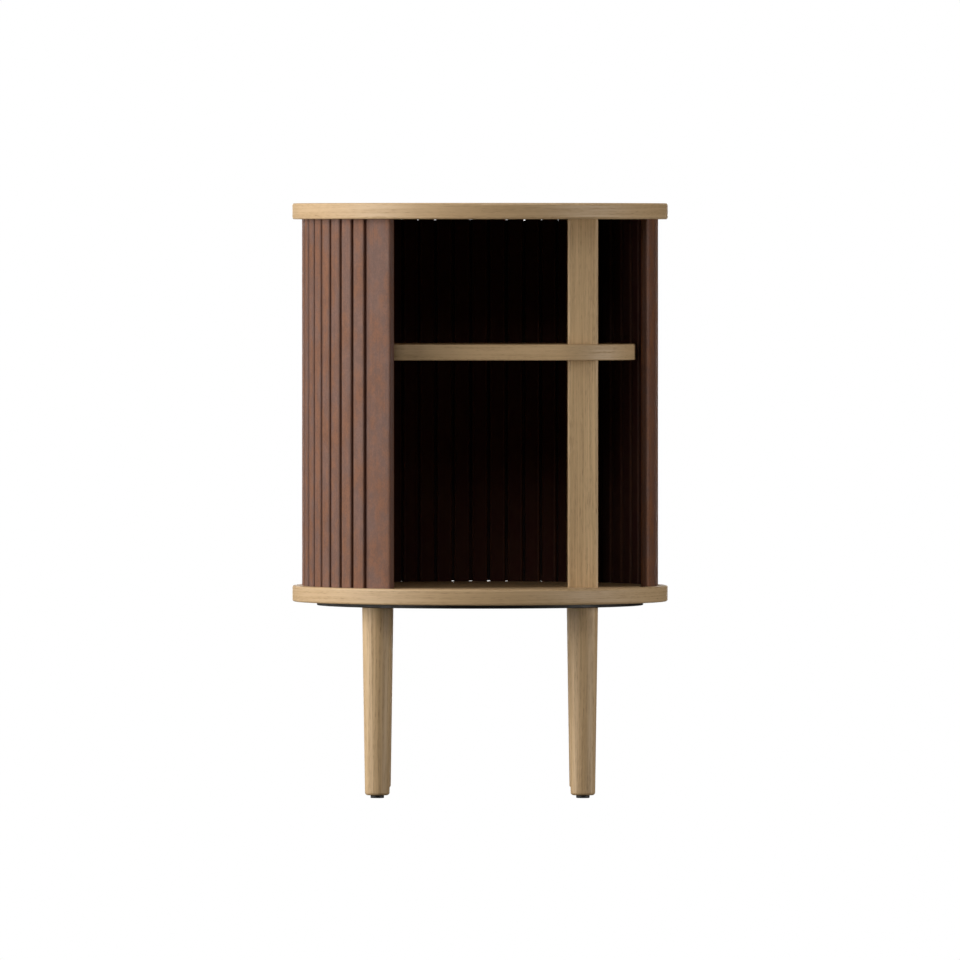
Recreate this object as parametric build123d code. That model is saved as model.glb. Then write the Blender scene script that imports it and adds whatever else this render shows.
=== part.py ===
from build123d import *
from math import cos, degrees, radians, sin, sqrt
import os

# Round side table: a small cabinet on four legs, closed by a slatted curtain that turns all the way
# round in two ring grooves. Millimetres. +Z is up and -Y is the front. The origin is on the floor,
# at the centre of the circle that the boards share. Angles are taken from the front, towards +X.

# Boards and the cabinet between them
board_diameter = 400.0
board_thickness = 17.0
board_edge_round = 2.0
cabinet_height = 390.0

# Curtain: flat slats joined by strips of its skin, with a wide stile at each end. The gaps next to the
# leading stile, by which the curtain is pushed open, are squeezed narrower than the others
slat_width = 16.2
slat_thickness = 9.0
slat_edge_round = 2.3
slat_gap = 3.3
squeezed_gap = 2.2
squeezed_gap_count = 6
slat_count = 40
stile_width = 31.6
stile_edge_round = 2.2
web_thickness = 1.6
web_end_gap = 2.0
curtain_start_angle = -29.8

# Ring grooves that the curtain runs in, and the wood left outside them
groove_depth = 5.0
groove_rim = 9.7
groove_side_play = 0.5
groove_end_play = 0.4

# Shelf, sized by the gaps that it keeps from the curtain and by how far it stands out past the posts
shelf_thickness = 17.0
shelf_overhang = 16.0
shelf_side_gap = 15.2
shelf_corner_gap = 3.5
shelf_edge_round = 1.5

# Posts, each in a lower and an upper length with the shelf between them, set in a little from the legs
post_width = 32.0
post_edge_round = 3.0
post_leg_offset = 10.9
lower_post_length = 240.5

# Legs and the steel plate that carries them
leg_length = 199.0
leg_top_diameter = 32.0
leg_foot_diameter = 26.0
leg_foot_round = 3.0
leg_top_chamfer = 0.5
leg_rim_distance = 46.0
plate_thickness = 4.0
plate_inset = 26.0
plate_edge_chamfer = 0.5
boss_diameter = 14.0
boss_play = 0.5

# Glides nailed into the feet
glide_diameter = 14.3
glide_height = 3.0
glide_edge_round = 0.8
nail_diameter = 3.0
nail_length = 14.0

# Fixings, and the wood that is left over the ones that end inside a board
thread_play = 0.05
hole_end_play = 0.5
stud_diameter = 8.0
stud_bite = 30.0
stud_cover = 8.5
dowel_diameter = 8.0
dowel_length = 40.0
dowel_cover = 7.0
dowel_chamfer = 0.8
dowel_spacing = 16.0
screw_tip_length = 4.0
post_screw_diameter = 5.0
post_screw_head = 9.6
post_screw_bite = 33.0
post_screw_spacing = 16.0
post_screw_offset = 8.0
plate_screw_diameter = 4.5
plate_screw_head = 8.6
plate_screw_cover = 5.0
plate_screw_count = 8
plate_screw_inset = 34.0
recess_width = 1.0
recess_span = 4.6
recess_depth = 1.6

# Fixings that end inside a board reach as far into it as their cover lets them
boss_height = board_thickness - stud_cover - boss_play
dowel_board_bite = board_thickness - dowel_cover
plate_screw_length = plate_thickness + board_thickness - plate_screw_cover

# Heights, from the floor up
leg_bottom = glide_height
leg_top = leg_bottom + leg_length
base_bottom = leg_top + plate_thickness
base_top = base_bottom + board_thickness
shelf_bottom = base_top + lower_post_length
shelf_top = shelf_bottom + shelf_thickness
top_bottom = base_top + cabinet_height

# Radii, from the rim of the boards inwards
board_radius = board_diameter / 2
plate_radius = board_radius - plate_inset
groove_outer_radius = board_radius - groove_rim
curtain_reach = groove_outer_radius - groove_side_play
track_radius = sqrt(curtain_reach**2 - (slat_width / 2) ** 2) - slat_thickness / 2
curtain_inner_radius = track_radius - slat_thickness / 2
curtain_outer_radius = track_radius + slat_thickness / 2
groove_inner_radius = curtain_inner_radius - groove_side_play

# Places of the legs and posts, for the corner at +X +Y
leg_place = (board_radius - leg_rim_distance) / sqrt(2)
post_x = leg_place
post_y = leg_place - post_leg_offset

# The shelf's corners are as round as they must be to keep their gap from the curtain
shelf_half_width = curtain_inner_radius - shelf_side_gap
shelf_half_depth = post_y + post_width / 2 + shelf_overhang
shelf_reach = curtain_inner_radius - shelf_corner_gap
corner_sum = shelf_half_width + shelf_half_depth - shelf_reach
corner_rest = shelf_half_width**2 + shelf_half_depth**2 - shelf_reach**2
shelf_corner_radius = corner_sum - sqrt(corner_sum**2 - corner_rest)

corners = {
    "front_left": (-1, -1),
    "front_right": (1, -1),
    "rear_left": (-1, 1),
    "rear_right": (1, 1),
}

# Steps along the curtain, as angles at the track
slat_angle = degrees(slat_width / track_radius)
stile_angle = degrees(stile_width / track_radius)


def rod(diameter, bottom, top, x=0.0, y=0.0):
    """An upright cylinder between two heights."""
    return Pos(x, y, (bottom + top) / 2) * Cylinder(diameter / 2, top - bottom)


def taper(bottom_diameter, top_diameter, bottom, top, x=0.0, y=0.0):
    """An upright cone frustum between two heights."""
    cone = Cone(bottom_diameter / 2, top_diameter / 2, top - bottom)
    return Pos(x, y, (bottom + top) / 2) * cone


def outline_edges(solid):
    """The edges round a solid's lowest and highest face."""
    faces = solid.faces().sort_by(Axis.Z)
    return faces[0].edges() + faces[-1].edges()


def ring_groove(bottom):
    """The ring that is cut out of a board for the curtain's ends."""
    outer = rod(2 * groove_outer_radius, bottom, bottom + groove_depth)
    return outer - rod(2 * groove_inner_radius, bottom, bottom + groove_depth)


def round_board(bottom):
    board = rod(board_diameter, bottom, bottom + board_thickness)
    return fillet(outline_edges(board), board_edge_round)


def post_dowel_places(side_x, side_y):
    """Two dowels side by side on a post's axis."""
    x = side_x * post_x
    y = side_y * post_y
    return [(x - dowel_spacing / 2, y), (x + dowel_spacing / 2, y)]


def post_screw_places(side_x, side_y):
    """Two screws side by side, nearer the middle of the table than the leg's boss."""
    x = side_x * post_x
    y = side_y * (post_y - post_screw_offset)
    return [(x - post_screw_spacing / 2, y), (x + post_screw_spacing / 2, y)]


def plate_screw_places():
    step = 360.0 / plate_screw_count
    places = []
    for i in range(plate_screw_count):
        angle = radians((i + 0.5) * step)
        radius = plate_radius - plate_screw_inset
        places.append((radius * sin(angle), -radius * cos(angle)))
    return places


def all_post_places(places):
    found = []
    for side_x, side_y in corners.values():
        found += places(side_x, side_y)
    return found


def screw(diameter, head, length, x, y, bottom):
    """A countersunk wood screw with its head down and a cross recess in it."""
    head_height = (head - diameter) / 2
    shank_top = bottom + length - screw_tip_length
    body = taper(head, diameter, bottom, bottom + head_height, x, y)
    body += rod(diameter, bottom + head_height, shank_top, x, y)
    body += taper(diameter, diameter / 4, shank_top, bottom + length, x, y)
    for width, span in ((recess_width, recess_span), (recess_span, recess_width)):
        body -= Pos(x, y, bottom) * Box(width, span, 2 * recess_depth)
    return body


def screw_hole(diameter, head, length, x, y, bottom):
    """The countersunk hole that such a screw fills."""
    head_height = (head - diameter) / 2
    wide_head = head + 2 * thread_play
    wide_shank = diameter + 2 * thread_play
    hole = taper(wide_head, wide_shank, bottom, bottom + head_height, x, y)
    return hole + rod(wide_shank, bottom, bottom + length + hole_end_play, x, y)


def plate_screw_set(make):
    made = []
    for x, y in plate_screw_places():
        made.append(make(plate_screw_diameter, plate_screw_head, plate_screw_length, x, y, leg_top))
    return made


def post_screw_set(make):
    length = board_thickness + post_screw_bite
    made = []
    for x, y in all_post_places(post_screw_places):
        made.append(make(post_screw_diameter, post_screw_head, length, x, y, base_bottom))
    return made


def dowel_levels():
    """The lower end of the dowels through the shelf, and of those into the top board."""
    through_shelf = (shelf_bottom + shelf_top - dowel_length) / 2
    into_top = top_bottom + dowel_board_bite - dowel_length
    return [through_shelf, into_top]


def dowel(x, y, bottom):
    pin = rod(dowel_diameter, bottom, bottom + dowel_length, x, y)
    return chamfer(pin.edges().filter_by(GeomType.CIRCLE), dowel_chamfer)


def dowel_hole(x, y, bottom):
    low = bottom - hole_end_play
    high = bottom + dowel_length + hole_end_play
    return rod(dowel_diameter + 2 * thread_play, low, high, x, y)


def dowel_set(make, levels):
    return [make(x, y, z) for z in levels for x, y in all_post_places(post_dowel_places)]


def top_board():
    board = round_board(top_bottom) - ring_groove(top_bottom)
    return board - dowel_set(dowel_hole, dowel_levels()[1:])


def base_board():
    board = round_board(base_bottom) - ring_groove(base_top - groove_depth)
    recess_diameter = boss_diameter + 2 * boss_play
    recess_top = base_bottom + boss_height + boss_play
    for side_x, side_y in corners.values():
        board -= rod(recess_diameter, base_bottom, recess_top, side_x * leg_place, side_y * leg_place)
    return board - plate_screw_set(screw_hole) - post_screw_set(screw_hole)


def shelf():
    outline = RectangleRounded(2 * shelf_half_width, 2 * shelf_half_depth, shelf_corner_radius)
    board = Pos(0, 0, shelf_bottom) * extrude(outline, shelf_thickness)
    board = fillet(outline_edges(board), shelf_edge_round)
    return board - dowel_set(dowel_hole, dowel_levels()[:1])


def mounting_plate():
    """A steel disc with a threaded boss over each leg."""
    plate = rod(2 * plate_radius, leg_top, base_bottom)
    plate = chamfer(outline_edges(plate), plate_edge_chamfer)
    bore = stud_diameter + 2 * thread_play
    for side_x, side_y in corners.values():
        x = side_x * leg_place
        y = side_y * leg_place
        plate += rod(boss_diameter, base_bottom, base_bottom + boss_height, x, y)
        plate -= rod(bore, leg_top, base_bottom + boss_height, x, y)
    return plate - plate_screw_set(screw_hole)


def leg(side_x, side_y):
    """A round tapered leg, bored at the top for its stud and at the foot for its glide's nail."""
    body = taper(leg_foot_diameter, leg_top_diameter, leg_bottom, leg_top)
    ends = body.edges().filter_by(GeomType.CIRCLE).sort_by(Axis.Z)
    body = fillet(ends[0], leg_foot_round)
    ends = body.edges().filter_by(GeomType.CIRCLE).sort_by(Axis.Z)
    body = chamfer(ends[-1], leg_top_chamfer)
    body -= rod(stud_diameter + 2 * thread_play, leg_top - stud_bite - hole_end_play, leg_top)
    nail_top = leg_bottom + nail_length + hole_end_play
    body -= rod(nail_diameter + 2 * thread_play, leg_bottom, nail_top)
    return Pos(side_x * leg_place, side_y * leg_place, 0) * body


def leg_stud(side_x, side_y):
    top = base_bottom + boss_height
    return rod(stud_diameter, leg_top - stud_bite, top, side_x * leg_place, side_y * leg_place)


def glide(side_x, side_y):
    """A round foot pad on a nail."""
    pad = rod(glide_diameter, 0, glide_height)
    pad = fillet(pad.edges().filter_by(GeomType.CIRCLE).sort_by(Axis.Z)[0], glide_edge_round)
    pad += rod(nail_diameter, glide_height, glide_height + nail_length)
    return Pos(side_x * leg_place, side_y * leg_place, 0) * pad


def post_length(side_x, side_y, bottom, top):
    middle = (bottom + top) / 2
    bar = Pos(side_x * post_x, side_y * post_y, middle) * Box(post_width, post_width, top - bottom)
    return fillet(bar.edges().filter_by(Axis.Z), post_edge_round)


def post(side_x, side_y):
    """The lower and the upper length of one post."""
    lower = post_length(side_x, side_y, base_top, shelf_bottom)
    upper = post_length(side_x, side_y, shelf_top, top_bottom)
    shelf_level, top_level = dowel_levels()
    for x, y in post_dowel_places(side_x, side_y):
        lower -= dowel_hole(x, y, shelf_level)
        upper -= [dowel_hole(x, y, shelf_level), dowel_hole(x, y, top_level)]
    hole_diameter = post_screw_diameter + 2 * thread_play
    hole_top = base_top + post_screw_bite + hole_end_play
    for x, y in post_screw_places(side_x, side_y):
        lower -= rod(hole_diameter, base_top, hole_top, x, y)
    return [lower, upper]


def curtain_bar(outline):
    """Draws an outline up from the lower groove to the upper one."""
    bottom = base_top - groove_depth + groove_end_play
    top = top_bottom + groove_depth - groove_end_play
    return Pos(0, 0, bottom) * extrude(outline, top - bottom)


def gap_angle(number):
    """The gap in front of a slat, where slat 0 is next to the leading stile."""
    gap = squeezed_gap if number < squeezed_gap_count else slat_gap
    return degrees(gap / track_radius)


def slat_angles():
    """The middle of each slat, from the leading stile on."""
    angles = []
    side = curtain_start_angle - stile_angle
    for number in range(slat_count):
        side -= gap_angle(number)
        angles.append(side - slat_angle / 2)
        side -= slat_angle
    return angles


def slat(angle):
    """A flat bar across the track, built at the front and turned to its place."""
    outline = RectangleRounded(slat_width, slat_thickness, slat_edge_round)
    return Rot(0, 0, angle) * curtain_bar(Pos(0, -track_radius) * outline)


def stile(middle_angle):
    """The wide bar that ends the curtain, curved along the track."""
    start = -90 - stile_angle / 2
    outer = CenterArc((0, 0), curtain_outer_radius, start, stile_angle)
    inner = CenterArc((0, 0), curtain_inner_radius, start, stile_angle)
    sides = [Line(inner @ 0, outer @ 0), Line(inner @ 1, outer @ 1)]
    bar = curtain_bar(make_face([outer, inner] + sides))
    bar = fillet(bar.edges().filter_by(Axis.Z), stile_edge_round)
    return Rot(0, 0, middle_angle) * bar


def stile_angles():
    """The middles of the stile at the curtain's start and of the one at its far end."""
    start = curtain_start_angle - stile_angle / 2
    end = slat_angles()[-1] - slat_angle / 2 - gap_angle(slat_count) - stile_angle / 2
    return [start, end]


def side_point(angle, half_angle, side, depth):
    """A point on the side of a bar: the flat slats' sides and the stiles' own ends differ."""
    if half_angle is None:
        across = side * slat_width / 2
        along = track_radius + depth
        turn = radians(angle)
        return (across * cos(turn) + along * sin(turn), across * sin(turn) - along * cos(turn))
    turn = radians(angle + side * half_angle)
    return ((track_radius + depth) * sin(turn), -(track_radius + depth) * cos(turn))


def web(bar_a, bar_b):
    """The strip of skin in the gap between two bars, face to face with both."""
    depth = web_thickness / 2
    points = [
        side_point(*bar_a, -1, -depth),
        side_point(*bar_a, -1, depth),
        side_point(*bar_b, 1, depth),
        side_point(*bar_b, 1, -depth),
    ]
    outline = make_face(Polyline(*points, close=True))
    height = cabinet_height - 2 * web_end_gap
    return Pos(0, 0, base_top + web_end_gap) * extrude(outline, height)


def webs():
    start, end = stile_angles()
    bars = [(start, stile_angle / 2)]
    bars += [(angle, None) for angle in slat_angles()]
    bars += [(end, stile_angle / 2)]
    return [web(a, b) for a, b in zip(bars, bars[1:])]


def make_parts():
    """Every piece of the table, by the name of its file."""
    parts = {
        "top_board": [top_board()],
        "base_board": [base_board()],
        "shelf": [shelf()],
        "mounting_plate": [mounting_plate()],
        "leg_studs": [leg_stud(*sides) for sides in corners.values()],
        "foot_glides": [glide(*sides) for sides in corners.values()],
        "plate_screws": plate_screw_set(screw),
        "post_screws": post_screw_set(screw),
        "post_dowels": dowel_set(dowel, dowel_levels()),
        "curtain_webs": webs(),
    }
    for corner, sides in corners.items():
        parts["leg_" + corner] = [leg(*sides)]
        parts["post_" + corner] = post(*sides)
    for name, angle in zip(("leading", "trailing"), stile_angles()):
        parts["curtain_stile_" + name] = [stile(angle)]
    for number, angle in enumerate(slat_angles(), start=1):
        parts[f"curtain_slat_{number:02d}"] = [slat(angle)]
    return parts


os.makedirs("parts", exist_ok=True)
for name, pieces in make_parts().items():
    solids = [solid for piece in pieces for solid in piece.solids()]
    model = solids[0] if len(solids) == 1 else Compound(solids)
    export_step(model, f"parts/{name}.step")
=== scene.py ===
import bpy
import numpy as np
from math import atan2, cos, pi, radians, sin, tan
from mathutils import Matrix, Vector


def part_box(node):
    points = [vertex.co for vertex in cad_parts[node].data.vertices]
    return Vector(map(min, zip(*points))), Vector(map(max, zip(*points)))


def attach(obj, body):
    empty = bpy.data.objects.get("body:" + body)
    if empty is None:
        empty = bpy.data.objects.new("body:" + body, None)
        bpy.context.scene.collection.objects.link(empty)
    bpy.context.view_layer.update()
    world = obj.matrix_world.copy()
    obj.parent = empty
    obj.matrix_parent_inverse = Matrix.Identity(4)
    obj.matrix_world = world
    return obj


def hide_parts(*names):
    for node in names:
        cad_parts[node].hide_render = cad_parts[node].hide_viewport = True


# Looks of the round side table: oak boards, shelf, posts and legs, a curtain of slats covered in brown
# skin, and black steel under the base board. Metres. +Z is up and -Y is the front, as in the frame.
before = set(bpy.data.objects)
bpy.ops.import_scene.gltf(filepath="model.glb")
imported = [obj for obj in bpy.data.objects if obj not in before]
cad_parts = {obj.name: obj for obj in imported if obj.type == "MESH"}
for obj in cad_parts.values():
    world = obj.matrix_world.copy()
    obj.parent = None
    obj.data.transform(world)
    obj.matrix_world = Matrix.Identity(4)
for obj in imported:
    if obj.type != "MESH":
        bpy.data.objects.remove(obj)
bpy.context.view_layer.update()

# The photograph's view: a long lens, level with the upper part of the cabinet
camera_distance = 16.1
camera_height = 0.590
view_width = 1.0233
view_centre = (-0.0001, 0.0, 0.3351)
sensor_width = 36.0

# Curtain: bars wrapped in skin, and the skin in the gaps between them
slat_width = 0.0162
stile_width = 0.0316
bar_depth = 0.009
slat_round = 0.0023
stile_round = 0.0030
slat_crown = 0.00008
stile_crown = 0.00015
skin_waves = 0.00005
board_gap_top = 0.613
board_gap_bottom = 0.223
gap_skin_depth = 0.0014
gap_skin_sag = 0.0005
gap_skin_tuck = 0.0010
gap_skin_out = 0.0012
gap_skin_reach = 0.003
# Painted shade: how far the colour goes towards the dark brown near a bar's sides
painted_shade_strength = 0.68
# Painted shade: how sharply the darker colour of the inner side sets in round a bar's inner corners
inner_side_sharpness = 3

# Points round a bar and up it, and across the skin of a gap
face_points = 12
bend_points = 6
side_points = 4
bar_rows = 79
gap_points = 9

# Waves in the skin up a bar: how many to a metre, and their share of the whole
swell_waves = ((5.0, 0.5), (13.0, 0.3), (29.0, 0.2))

# How far in from its two sides a bar's skin is darkened towards the dark brown, as painted shade of the gaps
# between the bars and of the edges turned away from the light. The second side is the one further round from
# the front towards +X: the free edge of the leading stile, and on any other bar the side towards that stile.
slat_shade_widths = (0.0008, 0.0019)
stile_shade_widths = {
    "curtain_stile_leading": (0.0036, 0.0026),
    "curtain_stile_trailing": (0.0003, 0.0036),
}

# Gaps at the back whose skin ends this far short of a board and lets light in. Each goes by the number of
# the slat that comes before it, counted from the leading stile.
short_at_top = {
    19: 0.00035, 20: 0.00062, 21: 0.00062, 23: 0.00020,
    25: 0.00036, 26: 0.00115, 27: 0.00048, 28: 0.00085,
}
short_at_bottom = {19: 0.00060, 22: 0.00078, 23: 0.00066, 24: 0.00090, 25: 0.00060, 27: 0.00046}

# Boards: their radius, and how upright a normal has to be on a flat face
board_radius = 0.2
flat_face = 0.75

# Noise in the figures: waves to a metre along each axis, how many finer layers it has, and their strength.
# Oak is drawn out along its first axis, which is the grain.
oak_noise = {
    "wander": ((2.3, 8.0, 8.0), 2.0, 0.5),
    "bands": ((1.6, 70.0, 70.0), 2.0, 0.5),
    "lines": ((7.0, 520.0, 520.0), 3.0, 0.62),
    "fibres": ((40.0, 2600.0, 2600.0), 2.0, 0.5),
    "pores": ((120.0, 3200.0, 3200.0), 0.0, 0.5),
    "flecks": ((75.0, 240.0, 900.0), 0.0, 0.5),
}
skin_noise = {
    "clouds": ((34.0, 34.0, 22.0), 2.0, 0.55),
    "mottle": ((120.0, 120.0, 70.0), 3.0, 0.6),
    "specks": ((620.0, 620.0, 420.0), 2.0, 0.5),
    "wrinkles": ((430.0, 430.0, 8.0), 2.0, 0.5),
    "grain": ((2400.0, 2400.0, 2400.0), 2.0, 0.5),
}
speckle_noise = {
    "spots": ((900.0, 900.0, 900.0), 3.0, 0.6),
    "smears": ((60.0, 60.0, 60.0), 3.0, 0.6),
}
pebbles_to_a_metre = 1100.0

# Oak: how far the grain wanders, what each part adds to the tone, and the levels at which each part shows
grain_wander = 0.006
tone_of_bands = 0.55
tone_of_lines = 0.70
tone_of_fibres = 0.25
tone_levels = (0.45, 1.05)
pore_levels = (0.56, 0.70)
pored_line_levels = (0.62, 0.40)
fleck_levels = (0.70, 0.80)
fleck_share = 0.25

# Oak: roughness between and on the lines, what pores add to it, and how high each part stands
oak_line_levels = (0.3, 0.7)
oak_roughness = (0.56, 0.46)
pore_roughness = 0.2
height_of_lines = 0.25
height_of_fibres = 0.35
depth_of_pores = 0.6

# Skin: how its clouds and mottling share the warmth, and how much of the dark brown each finer part brings in
cloud_share = 0.65
mottle_share = 0.35
warmth_levels = (0.40, 0.60)
worn_share = 0.5
worn_levels = (0.40, 0.60)
worn_darkening = (0.38, 0.0)
wrinkle_levels = (0.50, 0.70)
wrinkle_darkening = (0.0, 0.24)
pebble_edge = (0.0, 0.12)
pebble_darkening = (0.25, 0.0)

# Skin: roughness of the cool and the warm brown and of the inner side, and how high each part stands
skin_roughness = (0.46, 0.54)
inner_side_roughness = 0.9
pebble_slope = (0.0, 0.25)
height_of_grain = 0.4
height_of_specks = 1.5

# Paint, plastic and plated metal: the levels of the smears, and their roughness
smear_levels = (0.35, 0.70)
smear_rough_levels = (0.3, 0.7)
smear_roughness = (0.42, 0.58)

# Heights of the grain in the finishes
oak_relief = 0.00012
beech_relief = 0.00010
skin_relief = 0.00012
paint_relief = 0.00008
plastic_relief = 0.00004
zinc_relief = 0.00003

# Light: how bright the room is, how much the floor throws back and how far it reaches, and the light overhead
room_fill = 0.02
floor_bounce = 0.08
floor_half = 30.0
overhead_size = 1.5
overhead_height = 2.7
overhead_brightness = 3.6

# Each panel's azimuth and span in degrees, lower and upper edge, distance from the table and brightness
panels = {
    "left_panel": (-68.0, 15.0, 0.02, 2.1, 2.5, 7.8),
    "left_strip": (-76.0, 8.0, 0.02, 1.6, 2.5, 3.2),
    "left_edge_panel": (-98.0, 15.0, 0.02, 2.1, 2.5, 4.3),
    "high_left_panel": (-83.0, 45.0, 1.0, 2.6, 2.5, 1.1),
    "front_left_panel": (-51.0, 20.0, 0.02, 0.9, 2.5, 4.8),
    "front_panel": (-10.0, 30.0, 1.1, 1.9, 2.0, 2.3),
    "front_right_panel": (62.0, 20.0, 0.02, 0.86, 2.5, 6.2),
    "right_panel": (82.0, 17.0, 0.02, 0.86, 2.5, 4.5),
    "rear_panel": (180.0, 30.0, 0.02, 0.9, 2.5, 4.4),
    "rear_left_panel": (-130.0, 30.0, 0.02, 0.9, 2.5, 1.0),
}

# Sockets of a Mix node for each kind of value: its two inputs and its result
mix_sockets = {"VECTOR": (4, 5, 1), "RGBA": (6, 7, 2)}

random = np.random.default_rng(7)


# Node trees

class Tree:
    """Adds nodes to one node tree. An input takes a number, a colour, a vector or another node's output."""

    def __init__(self, node_tree):
        self.tree = node_tree

    def feed(self, socket, value):
        """Links an output to the socket, or sets the socket to a plain value."""
        if isinstance(value, bpy.types.NodeSocket):
            self.tree.links.new(value, socket)
        elif isinstance(value, tuple) and socket.type == "RGBA":
            socket.default_value = (*value, 1.0)
        else:
            socket.default_value = value

    def add(self, kind, feeds, **settings):
        """A new node with its settings made and the named or numbered inputs fed."""
        node = self.tree.nodes.new("ShaderNode" + kind)
        for name, value in settings.items():
            setattr(node, name, value)
        for key, value in feeds.items():
            self.feed(node.inputs[key], value)
        return node

    def math(self, operation, a, b=0.0):
        return self.add("Math", {0: a, 1: b}, operation=operation).outputs[0]

    def vector(self, operation, a, b):
        return self.add("VectorMath", {0: a, 1: b}, operation=operation).outputs[0]

    def attribute(self, name):
        """A number that a piece's mesh carries at its points, 0 where it carries none."""
        return self.add("Attribute", {}, attribute_name=name).outputs["Fac"]

    def noise(self, place, stretch, detail, roughness):
        """Cloudy noise from 0 to 1 with about `stretch` waves to a metre along each axis."""
        scaled = self.vector("MULTIPLY", place, stretch)
        feeds = {"Vector": scaled, "Scale": 1.0, "Detail": detail, "Roughness": roughness}
        return self.add("TexNoise", feeds).outputs[0]

    def cells(self, place, density):
        """Distance from the walls between small cells, 0 at a wall."""
        feeds = {"Vector": place, "Scale": density}
        return self.add("TexVoronoi", feeds, feature="DISTANCE_TO_EDGE").outputs[0]

    def between(self, value, levels, results=(0.0, 1.0)):
        """Runs smoothly from the first result to the second as the value goes from one level to the other."""
        feeds = {0: value, 1: levels[0], 2: levels[1], 3: results[0], 4: results[1]}
        return self.add("MapRange", feeds, interpolation_type="SMOOTHSTEP").outputs[0]

    def blend(self, share, a, b, kind="RGBA"):
        """Colour or vector a where the share is 0, and b where it is 1."""
        first, second, result = mix_sockets[kind]
        return self.add("Mix", {0: share, first: a, second: b}, data_type=kind).outputs[result]


def effect(name, inputs, outputs, build):
    """A node group with named sockets, wired by build(tree, inputs) which returns its outputs' values."""
    tree = bpy.data.node_groups.new(name, "ShaderNodeTree")
    kinds = {"color": "NodeSocketColor", "value": "NodeSocketFloat", "vector": "NodeSocketVector"}
    for direction, sockets in (("INPUT", inputs), ("OUTPUT", outputs)):
        for socket, kind in sockets.items():
            tree.interface.new_socket(socket, in_out=direction, socket_type=kinds[kind])
    entry = tree.nodes.new("NodeGroupInput")
    leaving = tree.nodes.new("NodeGroupOutput")
    made = build(Tree(tree), {socket: entry.outputs[socket] for socket in inputs})
    for socket in outputs:
        tree.links.new(made[socket], leaving.inputs[socket])
    return tree


def oak_figure(tree, inputs):
    """Straight oak grain: wandering tone bands, fine lines, fibres and short dark pores, all drawn out
    along the place's first axis."""
    place = inputs["Place"]
    wander = tree.math("SUBTRACT", tree.noise(place, *oak_noise["wander"]), 0.5)
    shift = tree.math("MULTIPLY", wander, grain_wander)
    offset = tree.add("CombineXYZ", {1: shift, 2: shift}).outputs[0]
    bent = tree.vector("ADD", place, offset)
    bands = tree.noise(bent, *oak_noise["bands"])
    lines = tree.noise(bent, *oak_noise["lines"])
    fibres = tree.noise(bent, *oak_noise["fibres"])
    pore_noise = tree.noise(bent, *oak_noise["pores"])
    fleck_noise = tree.noise(place, *oak_noise["flecks"])
    pored_lines = tree.between(lines, pored_line_levels)
    pores = tree.math("MULTIPLY", tree.between(pore_noise, pore_levels), pored_lines)
    flecks = tree.between(fleck_noise, fleck_levels)
    tone = tree.math("MULTIPLY", bands, tone_of_bands)
    tone = tree.math("ADD", tone, tree.math("MULTIPLY", lines, tone_of_lines))
    tone = tree.math("ADD", tone, tree.math("MULTIPLY", fibres, tone_of_fibres))
    colour = tree.blend(tree.between(tone, tone_levels), inputs["Dark Wood"], inputs["Light Wood"])
    colour = tree.blend(tree.math("MULTIPLY", flecks, fleck_share), colour, inputs["Light Wood"])
    colour = tree.blend(tree.math("MULTIPLY", pores, inputs["Pore Share"]), colour, inputs["Pore"])
    rough = tree.between(lines, oak_line_levels, oak_roughness)
    high = tree.math("MULTIPLY", lines, height_of_lines)
    high = tree.math("ADD", high, tree.math("MULTIPLY", fibres, height_of_fibres))
    return {
        "Color": colour,
        "Roughness": tree.math("ADD", rough, tree.math("MULTIPLY", pores, pore_roughness)),
        "Height": tree.math("SUBTRACT", high, tree.math("MULTIPLY", pores, depth_of_pores)),
    }


def skin_figure(tree, inputs):
    """Soft brown skin: wide clouds of a greyish and an orange brown, mottling at two finer scales, fine
    upright wrinkles and a pebbled grain. Near a bar's sides the colour goes towards the dark brown as painted
    shade, and the inner side is dull and dark, its colour painted shade of the cabinet's inside."""
    place = inputs["Place"]
    clouds = tree.noise(place, *skin_noise["clouds"])
    mottle = tree.noise(place, *skin_noise["mottle"])
    specks = tree.noise(place, *skin_noise["specks"])
    wrinkles = tree.noise(place, *skin_noise["wrinkles"])
    pebbles = tree.cells(place, pebbles_to_a_metre)
    grain = tree.noise(place, *skin_noise["grain"])
    share = tree.math("MULTIPLY", clouds, cloud_share)
    share = tree.math("ADD", share, tree.math("MULTIPLY", mottle, mottle_share))
    warmth = tree.between(share, warmth_levels)
    worn = tree.math("MULTIPLY", mottle, worn_share)
    worn = tree.math("ADD", worn, tree.math("MULTIPLY", specks, worn_share))
    colour = tree.blend(warmth, inputs["Cool Brown"], inputs["Warm Brown"])
    darkenings = (
        tree.between(worn, worn_levels, worn_darkening),
        tree.between(wrinkles, wrinkle_levels, wrinkle_darkening),
        tree.between(pebbles, pebble_edge, pebble_darkening),
        # painted shade near the bars' sides
        inputs["Creased"],
    )
    for darkening in darkenings:
        colour = tree.blend(darkening, colour, inputs["Dark_Brown_And_Shade"])
    # The inner side's colour: painted shade of the cabinet's inside
    inner_shade_colour = tree.blend(warmth, inputs["Inner_Shade"], inputs["Dark_Brown_And_Shade"])
    rough = tree.between(share, warmth_levels, skin_roughness)
    high = tree.between(pebbles, pebble_slope)
    high = tree.math("ADD", high, tree.math("MULTIPLY", grain, height_of_grain))
    return {
        "Color": tree.blend(inputs["Lined"], colour, inner_shade_colour),
        "Roughness": tree.math("MAXIMUM", rough, tree.math("MULTIPLY", inputs["Lined"], inner_side_roughness)),
        "Height": tree.math("ADD", high, tree.math("MULTIPLY", specks, height_of_specks)),
    }


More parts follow.
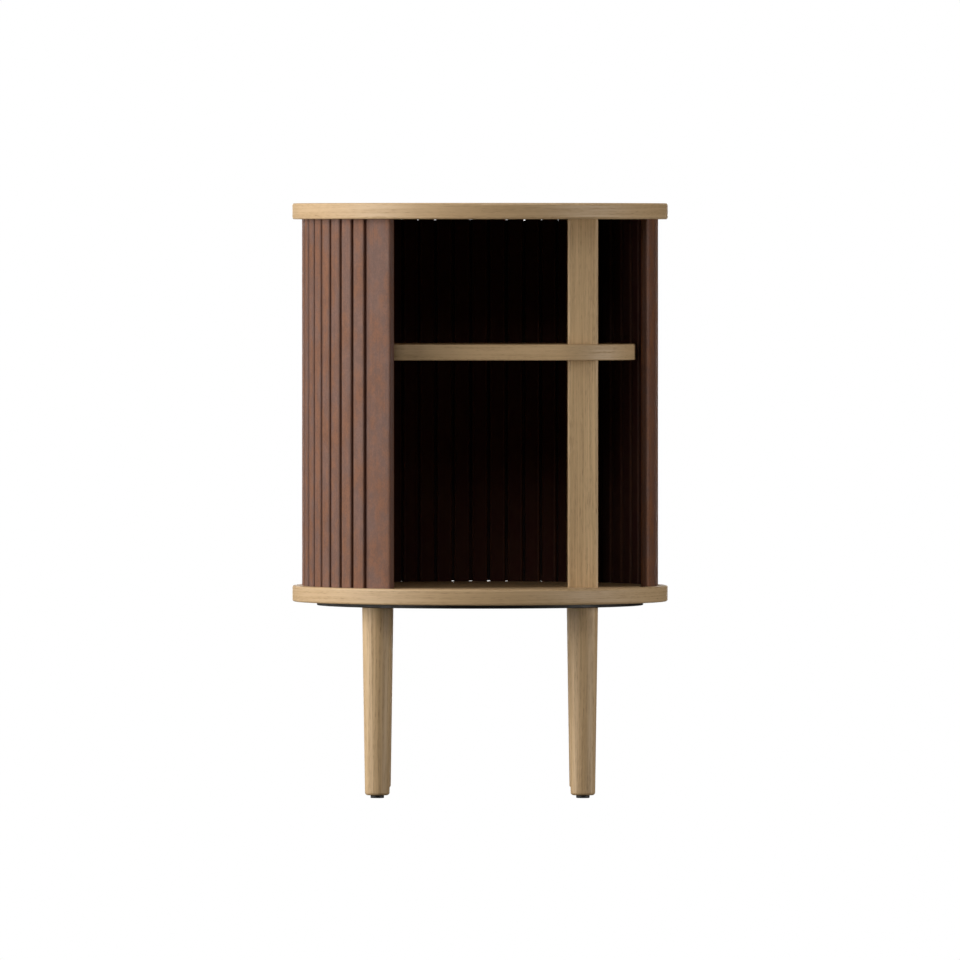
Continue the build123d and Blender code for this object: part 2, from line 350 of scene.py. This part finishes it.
def speckle_figure(tree, inputs):
    """Small uneven spots and a fine orange-peel height, for paint, plastic and plated metal."""
    spots = tree.noise(inputs["Place"], *speckle_noise["spots"])
    smears = tree.noise(inputs["Place"], *speckle_noise["smears"])
    return {
        "Color": tree.blend(tree.between(smears, smear_levels), inputs["Base"], inputs["Worn"]),
        "Roughness": tree.between(smears, smear_rough_levels, smear_roughness),
        "Height": spots,
    }


grain_outputs = {"Color": "color", "Roughness": "value", "Height": "value"}
wood_inputs = {
    "Place": "vector", "Pore Share": "value", "Light Wood": "color", "Dark Wood": "color", "Pore": "color",
}
skin_inputs = {
    "Place": "vector", "Creased": "value", "Lined": "value",
    "Cool Brown": "color", "Warm Brown": "color", "Dark_Brown_And_Shade": "color", "Inner_Shade": "color",
}
speckle_inputs = {"Place": "vector", "Base": "color", "Worn": "color"}
oak_grain = effect("oak_grain", wood_inputs, grain_outputs, oak_figure)
skin_grain = effect("skin_grain", skin_inputs, grain_outputs, skin_figure)
fine_speckle = effect("fine_speckle", speckle_inputs, grain_outputs, speckle_figure)


def finish(name, effect_tree, figures, place_of, bump_depth, constants):
    """A material: an effect at a place feeds the colour, the roughness and a bump of one Principled shader.
    The figures are what the effect takes, and the constants what the shader takes."""
    material = bpy.data.materials.new(name)
    material.use_nodes = True
    tree = Tree(material.node_tree)
    shader = material.node_tree.nodes["Principled BSDF"]
    figure = tree.add("Group", {}, node_tree=effect_tree)
    tree.feed(figure.inputs["Place"], place_of(tree))
    # The painted shade near the bars' sides and the mask of their inner side come from each piece's
    # attributes
    for socket in ("Creased", "Lined"):
        if socket in figure.inputs:
            tree.feed(figure.inputs[socket], tree.attribute(socket.lower()))
    for socket, value in figures.items():
        tree.feed(figure.inputs[socket], value)
    feeds = {"Height": figure.outputs["Height"], "Strength": 1.0, "Distance": bump_depth}
    bump = tree.add("Bump", feeds)
    tree.feed(shader.inputs["Base Color"], figure.outputs["Color"])
    tree.feed(shader.inputs["Roughness"], figure.outputs["Roughness"])
    tree.feed(shader.inputs["Normal"], bump.outputs[0])
    for socket, value in constants.items():
        tree.feed(shader.inputs[socket], value)
    return material


# Places that the effects are drawn at

def as_it_lies(tree):
    """The piece's own coordinates."""
    return tree.add("TexCoord", {}).outputs["Object"]


def upright(tree):
    """Turns the place so that the grain's first axis runs up the piece."""
    split = tree.add("SeparateXYZ", {0: as_it_lies(tree)}).outputs
    return tree.add("CombineXYZ", {0: split[2], 1: split[0], 2: split[1]}).outputs[0]


def banded(tree):
    """The place itself on a board's flat faces. Round its edge, the way round, the height and nothing."""
    coordinate = tree.add("TexCoord", {})
    split = tree.add("SeparateXYZ", {0: coordinate.outputs["Object"]}).outputs
    turn = tree.math("ARCTAN2", split[0], tree.math("MULTIPLY", split[1], -1.0))
    way_round = tree.math("MULTIPLY", turn, board_radius)
    edge = tree.add("CombineXYZ", {0: way_round, 1: split[2]}).outputs[0]
    normal = tree.add("SeparateXYZ", {0: coordinate.outputs["Normal"]}).outputs
    is_face = tree.math("GREATER_THAN", tree.math("ABSOLUTE", normal[2]), flat_face)
    return tree.blend(is_face, edge, coordinate.outputs["Object"], "VECTOR")


# Finishes

board_oak = {
    "Light Wood": (0.624, 0.426, 0.228),
    "Dark Wood": (0.516, 0.336, 0.165),
    "Pore": (0.26, 0.15, 0.065),
    "Pore Share": 0.45,
}
post_oak = {
    "Light Wood": (0.710, 0.490, 0.262),
    "Dark Wood": (0.460, 0.292, 0.136),
    "Pore": (0.24, 0.13, 0.055),
    "Pore Share": 0.55,
}
dowel_beech = {
    "Light Wood": (0.62, 0.45, 0.28),
    "Dark Wood": (0.54, 0.37, 0.22),
    "Pore": (0.40, 0.25, 0.14),
    "Pore Share": 0.30,
}
# The skin's dark brown gives its worn tone and also the painted shade near the bars' sides; the inner side's
# colour is painted shade of the cabinet's inside.
bar_skin = {
    "Cool Brown": (0.202, 0.085, 0.046),
    "Warm Brown": (0.240, 0.085, 0.027),
    "Dark_Brown_And_Shade": (0.066, 0.020, 0.008),
    "Inner_Shade": (0.060, 0.012, 0.006),
}
# The skin in the gaps: colours darker than the bars' skin as painted shade between the bars, and a near black
# inner side as painted shade
gap_skin_with_painted_shade = {
    "Cool Brown": (0.100, 0.034, 0.016),
    "Warm Brown": (0.116, 0.036, 0.012),
    "Dark_Brown_And_Shade": (0.040, 0.012, 0.006),
    "Inner_Shade": (0.010, 0.003, 0.002),
}
powder_coat = {"Base": (0.014, 0.011, 0.007), "Worn": (0.019, 0.015, 0.010)}
foot_plastic = {"Base": (0.012, 0.012, 0.012), "Worn": (0.030, 0.029, 0.028)}
zinc_plating = {"Base": (0.60, 0.60, 0.58), "Worn": (0.45, 0.45, 0.42)}
satin = {"IOR": 1.5}
metal = {"Metallic": 1.0}
oak_flat = finish("oak_boards", oak_grain, board_oak, banded, oak_relief, satin)
oak_upright = finish("oak_upright", oak_grain, post_oak, upright, oak_relief, satin)
beech = finish("beech", oak_grain, dowel_beech, upright, beech_relief, satin)
skin = finish("curtain_skin_grain", skin_grain, bar_skin, as_it_lies, skin_relief, satin)
# The gaps' skin, darkened as painted shade between the bars
gap_skin = finish("gap_skin_painted_shade_grain", skin_grain, gap_skin_with_painted_shade, as_it_lies, skin_relief, satin)
black_paint = finish("black_powder_coat", fine_speckle, powder_coat, as_it_lies, paint_relief, satin)
black_plastic = finish("black_foot_plastic", fine_speckle, foot_plastic, as_it_lies, plastic_relief, satin)
zinc = finish("zinc_plated_steel", fine_speckle, zinc_plating, as_it_lies, zinc_relief, metal)

finishes = {
    "oak": oak_upright,
    "curtain_skin": skin,
    "web_skin": gap_skin,
    "black_plastic": black_plastic,
    "bright_steel": zinc,
    "black_steel": black_paint,
    "beech": beech,
}
boards = ("top_board", "base_board", "shelf")
for name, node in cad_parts.items():
    for slot in node.material_slots:
        slot.material = oak_flat if name in boards else finishes[slot.material.name.split(".")[0]]


# Curtain

def middle_angle(name):
    """Where a bar of the curtain stands, in radians from the front towards +X."""
    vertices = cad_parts[name].data.vertices
    points = np.empty(3 * len(vertices))
    vertices.foreach_get("co", points)
    x, y = points.reshape(-1, 3).T[:2]
    rough = atan2(x.mean(), -y.mean())
    aside = np.arctan2(x * cos(rough) + y * sin(rough), x * sin(rough) - y * cos(rough))
    return rough + (aside.min() + aside.max()) / 2


def track_radius_of(node):
    """How far from the table's axis the middle of a slat lies."""
    low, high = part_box(node)
    return np.hypot(low[0] + high[0], low[1] + high[1]) / 2


def bar_outline(width, depth, corner, crown):
    """Once round a bar, as distances across and outwards: two flat faces and two sides, joined by quarter
    circles, with the outer face raised towards its middle by the crown times one minus the square of the
    distance across."""
    half_flat = width / 2 - corner
    half_side = depth / 2 - corner
    face = np.linspace(-half_flat, half_flat, face_points)
    turn = np.linspace(0.0, pi / 2, bend_points + 2)[1:-1]
    bend_across = half_flat + corner * np.sin(turn)
    bend_out = half_side + corner * np.cos(turn)
    side = np.linspace(half_side, -half_side, side_points)
    right_across = np.concatenate([bend_across, np.full(side_points, width / 2), bend_across[::-1]])
    right_out = np.concatenate([bend_out, side, -bend_out[::-1]])
    flat = np.full(face_points, depth / 2)
    across = np.concatenate([face, right_across, face[::-1], -right_across])
    out = np.concatenate([flat, right_out, -flat, -right_out])
    raised = crown * (1 - np.minimum(np.abs(across) / half_flat, 1.0) ** 2)
    return across, out + np.where(out > 0, raised, 0.0)


def closed_bars(name, x, y, z, smooth):
    """A mesh of bars, each with rows of points that go once round it, row after row up its height, closed by
    a flat end below and above. x, y and z are arrays of bars by rows by points."""
    bars, rows, points = x.shape
    at = np.arange(x.size).reshape(x.shape)
    onward = np.roll(at, -1, axis=2)
    walls = np.stack([at[:, :-1], onward[:, :-1], onward[:, 1:], at[:, 1:]], axis=-1).reshape(-1, 4)
    faces = walls.tolist() + at[:, 0, ::-1].tolist() + at[:, -1].tolist()
    mesh = bpy.data.meshes.new(name)
    mesh.from_pydata(np.stack([x, y, z], axis=-1).reshape(-1, 3), [], faces)
    mesh.polygons.foreach_set("use_smooth", [smooth] * len(walls) + [False] * (2 * bars))
    return mesh


def add_attribute(mesh, name, values):
    """Keeps a number for each point on a mesh, for its material."""
    mesh.attributes.new(name, "FLOAT", "POINT").data.foreach_set("value", values.ravel())


def add_piece(name, mesh, material, slot, *nodes):
    """Puts a mesh into the scene as a piece of the curtain that stands for its nodes."""
    mesh.materials.append(material)
    piece = bpy.data.objects.new(name, mesh)
    bpy.context.scene.collection.objects.link(piece)
    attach(piece, "curtain")
    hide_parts(*nodes)


def skin_swell(across, height):
    """Slow waves in the wrapped skin: three sines up the height whose phases drift across the bar."""
    swell = 0.0
    for waves, share in swell_waves:
        start, drift = random.uniform(0.0, 2 * pi, 2)
        swell = swell + share * np.sin(2 * pi * waves * height + start + drift * across)
    return skin_waves * swell


def painted_shade_at(across, width, shade_widths):
    """How strong the painted shade near the sides is: a bell curve of the distance from each side of the bar,
    and the larger of the two."""
    from_sides = np.stack([width / 2 + across, width / 2 - across])
    return np.exp(-((from_sides / np.array(shade_widths)[:, None]) ** 2)).max(axis=0)


def add_bar(node_name, width, corner, crown, shade_widths, curved):
    """A bar of the curtain, with painted shade near its sides and on its inner side. A flat bar's width lies
    along the tangent, and a curved one's along the track."""
    low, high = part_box(node_name)
    angle = middle_angle(node_name)
    across, out = bar_outline(width, bar_depth, corner, crown)
    height = np.linspace(low[2], high[2], bar_rows)[:, None]
    raise_skin = skin_swell(across[None, :] / width, height) * np.sign(out)
    radius = track_radius + out[None, :] + raise_skin
    if curved:
        turn = angle + across / track_radius
        x = radius * np.sin(turn)
        y = -radius * np.cos(turn)
    else:
        x = radius * sin(angle) + across * cos(angle)
        y = -radius * cos(angle) + across * sin(angle)
    mesh = closed_bars(node_name, x[None], y[None], np.broadcast_to(height, x.shape)[None], True)
    # The inner side, which its material darkens as painted shade
    inward = np.clip((corner - bar_depth / 2 - out) / corner, 0.0, 1.0) ** inner_side_sharpness
    # Painted shade near the bar's sides
    creased = painted_shade_strength * painted_shade_at(across, width, shade_widths)
    add_attribute(mesh, "creased", np.broadcast_to(creased, x.shape))
    add_attribute(mesh, "lined", np.broadcast_to(inward, x.shape))
    add_piece(node_name.replace("curtain_", "wrapped_"), mesh, skin, "curtain_skin", node_name)


def gap_skin_mesh():
    """The skin across each gap: a strip from one bar's side to the next, sagging inwards as one minus the
    square of the distance from the gap's middle, with ends that reach into the grooves or stop short of the
    boards. Its inner face is marked for the painted shade of the cabinet's inside."""
    names = ["curtain_stile_leading"] + slat_names + ["curtain_stile_trailing"]
    gaps = range(len(names) - 1)
    angles = np.array([middle_angle(name) for name in names])
    widths = np.array([stile_width] + [slat_width] * len(slat_names) + [stile_width])
    half_spans = (widths / 2 - gap_skin_tuck) / track_radius
    near = angles[:-1] - half_spans[:-1]
    far = angles[1:] + half_spans[1:]
    far = np.where(far > near, far - 2 * pi, far)
    bottom = [board_gap_bottom + short_at_bottom.get(gap, -gap_skin_reach) for gap in gaps]
    top = [board_gap_top - short_at_top.get(gap, -gap_skin_reach) for gap in gaps]
    along = np.linspace(-1.0, 1.0, gap_points)
    turn = (near + far)[:, None] / 2 + along * (near - far)[:, None] / 2
    turn = np.concatenate([turn, turn[:, ::-1]], axis=1)[:, None]
    sag = gap_skin_sag * (1 - along ** 2)
    depth = np.concatenate([gap_skin_depth / 2 - sag, -gap_skin_depth / 2 - sag[::-1]])
    radius = track_radius + gap_skin_out + depth
    height = np.stack([bottom, top], axis=1)[:, :, None]
    x, y, z = np.broadcast_arrays(radius * np.sin(turn), -radius * np.cos(turn), height)
    mesh = closed_bars("gap_skin", x, y, z, False)
    # The inner face, darkened by its material as painted shade
    is_inner = np.arange(len(depth)) >= gap_points
    add_attribute(mesh, "lined", np.broadcast_to(is_inner.astype(float), x.shape))
    return mesh


slat_names = sorted(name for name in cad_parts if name.startswith("curtain_slat_"))
track_radius = track_radius_of(slat_names[0])
for name in slat_names:
    add_bar(name, slat_width, slat_round, slat_crown, slat_shade_widths, curved=False)
for name, shade_widths in stile_shade_widths.items():
    add_bar(name, stile_width, stile_round, stile_crown, shade_widths, curved=True)
add_piece("gap_skin", gap_skin_mesh(), gap_skin, "web_skin", "curtain_webs")


# Stage, camera and light

def add_camera():
    """A camera far in front, aimed at the middle of the photograph, with the photograph's width in view."""
    lens = bpy.data.cameras.new("camera")
    lens.sensor_width = sensor_width
    lens.lens = sensor_width * camera_distance / view_width
    lens.clip_end = 3 * camera_distance
    camera = bpy.data.objects.new("camera", lens)
    camera.location = (view_centre[0], -camera_distance, camera_height)
    toward = Vector(view_centre) - camera.location
    camera.rotation_euler = toward.to_track_quat("-Z", "Y").to_euler()
    bpy.context.scene.collection.objects.link(camera)
    bpy.context.scene.camera = camera


def add_floor():
    """A pale floor that looks white, as in the photograph, and throws only a little light upwards."""
    mesh = bpy.data.meshes.new("floor")
    signs = ((-1, -1), (1, -1), (1, 1), (-1, 1))
    mesh.from_pydata([(x * floor_half, y * floor_half, 0.0) for x, y in signs], [], [(0, 1, 2, 3)])
    material = bpy.data.materials.new("white_floor")
    material.use_nodes = True
    tree = Tree(material.node_tree)
    shader = material.node_tree.nodes["Principled BSDF"]
    shader.inputs["Base Color"].default_value = (floor_bounce, floor_bounce, floor_bounce, 1.0)
    shader.inputs["Roughness"].default_value = 1.0
    glow = tree.add("Emission", {"Color": (1.0, 1.0, 1.0), "Strength": 1.0})
    seen = tree.add("LightPath", {}).outputs["Is Camera Ray"]
    mixed = tree.add("MixShader", {0: seen, 1: shader.outputs[0], 2: glow.outputs[0]})
    tree.feed(material.node_tree.nodes["Material Output"].inputs["Surface"], mixed.outputs[0])
    mesh.materials.append(material)
    floor = bpy.data.objects.new("floor", mesh)
    bpy.context.scene.collection.objects.link(floor)


def add_world():
    """A white background to the eye, and an even, faint fill light to everything else."""
    world = bpy.data.worlds.new("studio")
    world.use_nodes = True
    tree = Tree(world.node_tree)
    background = world.node_tree.nodes["Background"]
    seen = tree.add("LightPath", {}).outputs["Is Camera Ray"]
    strength = tree.add("MapRange", {0: seen, 1: 0.0, 2: 1.0, 3: room_fill, 4: 1.0}).outputs[0]
    tree.feed(background.inputs["Color"], (1.0, 1.0, 1.0))
    tree.feed(background.inputs["Strength"], strength)
    bpy.context.scene.world = world


def add_light(name, place, turned, width, height, brightness):
    """A soft rectangle of light. Its power is its brightness times pi times its area."""
    data = bpy.data.lights.new(name, "AREA")
    data.shape = "RECTANGLE"
    data.size = width
    data.size_y = height
    data.energy = brightness * pi * width * height
    light = bpy.data.objects.new(name, data)
    light.location = place
    light.rotation_euler = turned
    bpy.context.scene.collection.objects.link(light)


def add_panel(name, azimuth, span, low, high, distance, brightness):
    """An upright panel that faces the table, at an azimuth from the front towards +X and as wide as its span,
    both in degrees."""
    turn = radians(azimuth)
    place = (distance * sin(turn), -distance * cos(turn), (low + high) / 2)
    width = 2 * distance * tan(radians(span) / 2)
    add_light(name, place, (pi / 2, 0.0, turn), width, high - low, brightness)


bpy.context.scene.view_settings.view_transform = "Standard"
add_camera()
add_floor()
add_world()
for name, panel in panels.items():
    add_panel(name, *panel)
overhead_place = (0.0, 0.0, overhead_height)
facing_down = (0.0, 0.0, 0.0)
add_light("overhead_panel", overhead_place, facing_down, overhead_size, overhead_size, overhead_brightness)
